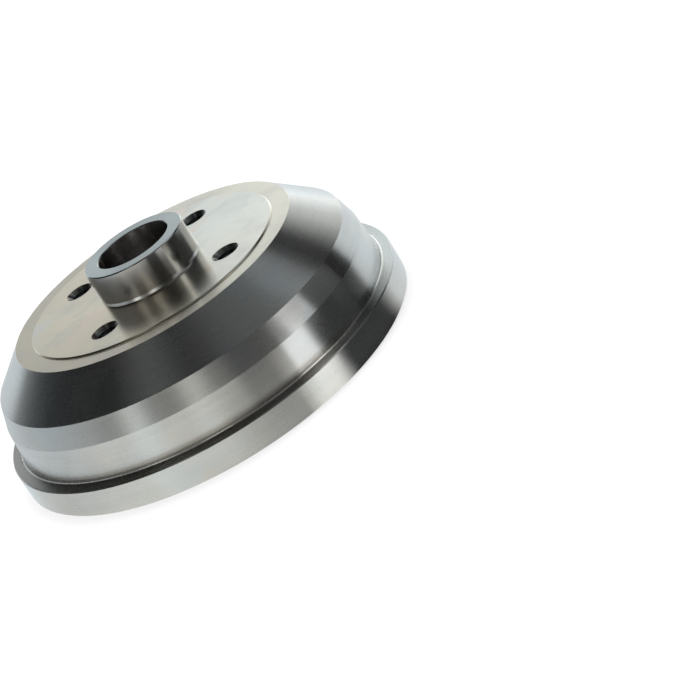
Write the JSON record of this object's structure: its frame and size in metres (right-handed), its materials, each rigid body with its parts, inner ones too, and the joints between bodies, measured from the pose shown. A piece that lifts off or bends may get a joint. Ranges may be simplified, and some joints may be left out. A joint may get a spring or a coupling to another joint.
{
  "type": "brake drum",
  "caption": "Turned cast-iron rear brake drum with an integral wheel hub: a nose to centre the wheel, threaded bolt holes, stepped conical wall, grooved rim flange and an inner hub.",
  "frame": {"origin": "centre of the open rim's plane, on the wheel axis", "axes": "+Z along the wheel axis, out through the wheel face to the nose; +X through one wheel-bolt hole"},
  "size_m": [0.226, 0.226, 0.0837],
  "materials": {
    "turned_iron": "fine turned, satin"
  },
  "bodies": {
    "root": {"brake_drum": "turned_iron"}
  },
  "joints": []
}
